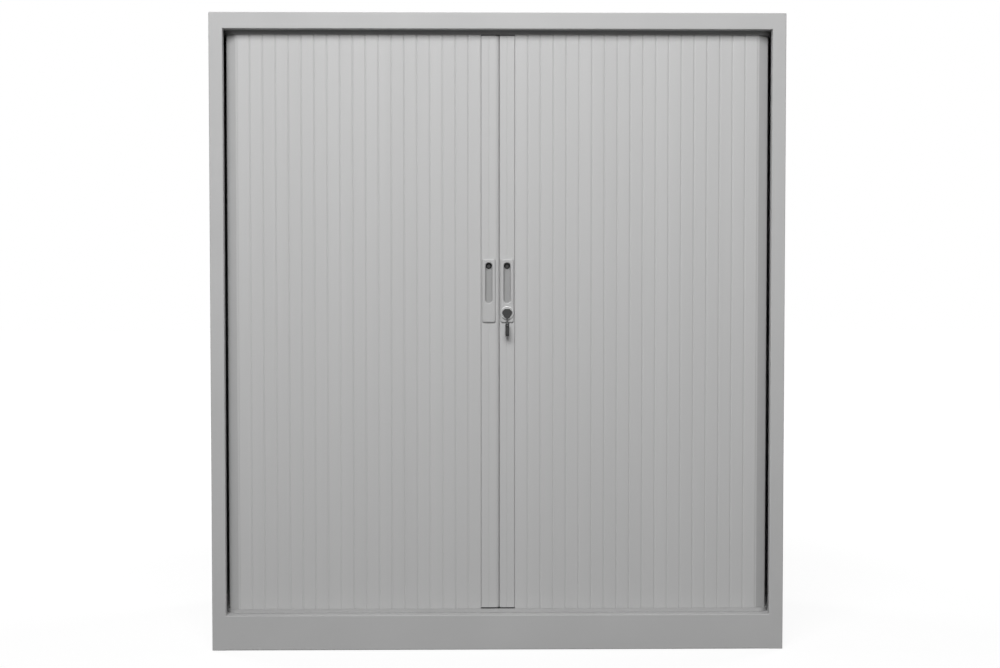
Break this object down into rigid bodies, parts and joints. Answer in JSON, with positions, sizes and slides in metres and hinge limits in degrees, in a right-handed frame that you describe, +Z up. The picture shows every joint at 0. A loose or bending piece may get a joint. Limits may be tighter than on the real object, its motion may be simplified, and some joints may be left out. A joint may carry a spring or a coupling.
{
  "type": "tambour door cabinet",
  "caption": "Free-standing steel storage cabinet with two slatted doors that slide apart round the front corners, shelves inside and a key lock where the doors meet.",
  "frame": {"origin": "on the floor under the middle of the cabinet", "axes": "+X to the right seen from the front, +Y to the back, +Z up; the doors face -Y"},
  "size_m": [0.914, 0.47, 1.016],
  "materials": {
    "paint": "light grey powder coat, satin",
    "slat_plastic": "light grey matt plastic",
    "track_plastic": "dark grey matt plastic",
    "handle_plastic": "light grey satin plastic",
    "nylon": "black nylon",
    "bow_plastic": "black moulded plastic",
    "chrome": "polished chrome",
    "black_steel": "black oxidized steel",
    "zinc_steel": "zinc-plated steel"
  },
  "bodies": {
    "cabinet": {"left_side_panel": "paint", "right_side_panel": "paint", "top_panel": "paint", "back_panel": "paint", "plinth_panel": "paint", "base_panel": "paint", "inner_top_panel": "paint", "left_inner_side": "paint", "right_inner_side": "paint", "lower_shelf": "paint", "upper_shelf": "paint", "bottom_track": "track_plastic", "top_track": "track_plastic", "left_front_upright": "paint", "left_front_foot_bracket": "paint", "lower_shelf_left_front_clip": "zinc_steel", "upper_shelf_left_front_clip": "zinc_steel", "left_rear_upright": "paint", "left_rear_foot_bracket": "paint", "lower_shelf_left_rear_clip": "zinc_steel", "upper_shelf_left_rear_clip": "zinc_steel", "left_curtain": "slat_plastic", "right_front_upright": "paint", "right_front_foot_bracket": "paint", "lower_shelf_right_front_clip": "zinc_steel", "upper_shelf_right_front_clip": "zinc_steel", "right_rear_upright": "paint", "right_rear_foot_bracket": "paint", "lower_shelf_right_rear_clip": "zinc_steel", "upper_shelf_right_rear_clip": "zinc_steel", "right_curtain": "slat_plastic"},
    "left_door": {"left_stile": "slat_plastic", "left_bottom_shoe": "nylon", "left_top_shoe": "nylon", "left_handle": "handle_plastic", "left_handle_screw": "black_steel", "lock_keeper": "zinc_steel", "keeper_screw_1": "zinc_steel", "keeper_screw_2": "zinc_steel"},
    "right_door": {"right_stile": "slat_plastic", "right_bottom_shoe": "nylon", "right_top_shoe": "nylon", "right_handle": "handle_plastic", "right_handle_screw": "black_steel", "lock_barrel": "chrome", "lock_nut": "zinc_steel"},
    "lock_plug": {"lock_plug": "chrome", "lock_hook": "zinc_steel", "hook_screw": "zinc_steel"},
    "key": {"key": "zinc_steel", "key_cap": "bow_plastic"},
    "key_bow": {"key_bow": "bow_plastic", "key_pin": "zinc_steel"},
    "left_front_foot": {"left_front_foot": "nylon"},
    "left_rear_foot": {"left_rear_foot": "nylon"},
    "right_front_foot": {"right_front_foot": "nylon"},
    "right_rear_foot": {"right_rear_foot": "nylon"}
  },
  "joints": [
    {"name": "left_door_slide", "type": "slide", "parent": "cabinet", "child": "left_door", "axis": [-1, 0, 0], "range_m": [0, 0.38], "deforming": ["left_curtain"]},
    {"name": "right_door_slide", "type": "slide", "parent": "cabinet", "child": "right_door", "axis": [1, 0, 0], "range_m": [0, 0.38], "deforming": ["right_curtain"]},
    {"name": "lock_turn", "type": "hinge", "parent": "right_door", "child": "lock_plug", "pos_m": [0.01465, -0.2, 0.5408], "axis": [0, 1, 0], "range_deg": [0, 90]},
    {"name": "key_withdraw", "type": "slide", "parent": "lock_plug", "child": "key", "axis": [0, -1, 0], "range_m": [0, 0.018]},
    {"name": "key_bow_fold", "type": "hinge", "parent": "key", "child": "key_bow", "pos_m": [0.01465, -0.2248, 0.5238], "axis": [-1, 0, 0], "range_deg": [0, 90]},
    {"name": "left_front_foot_screw", "type": "slide", "parent": "cabinet", "child": "left_front_foot", "axis": [0, 0, -1], "range_m": [0, 0.012]},
    {"name": "left_rear_foot_screw", "type": "slide", "parent": "cabinet", "child": "left_rear_foot", "axis": [0, 0, -1], "range_m": [0, 0.012]},
    {"name": "right_front_foot_screw", "type": "slide", "parent": "cabinet", "child": "right_front_foot", "axis": [0, 0, -1], "range_m": [0, 0.012]},
    {"name": "right_rear_foot_screw", "type": "slide", "parent": "cabinet", "child": "right_rear_foot", "axis": [0, 0, -1], "range_m": [0, 0.012]}
  ]
}
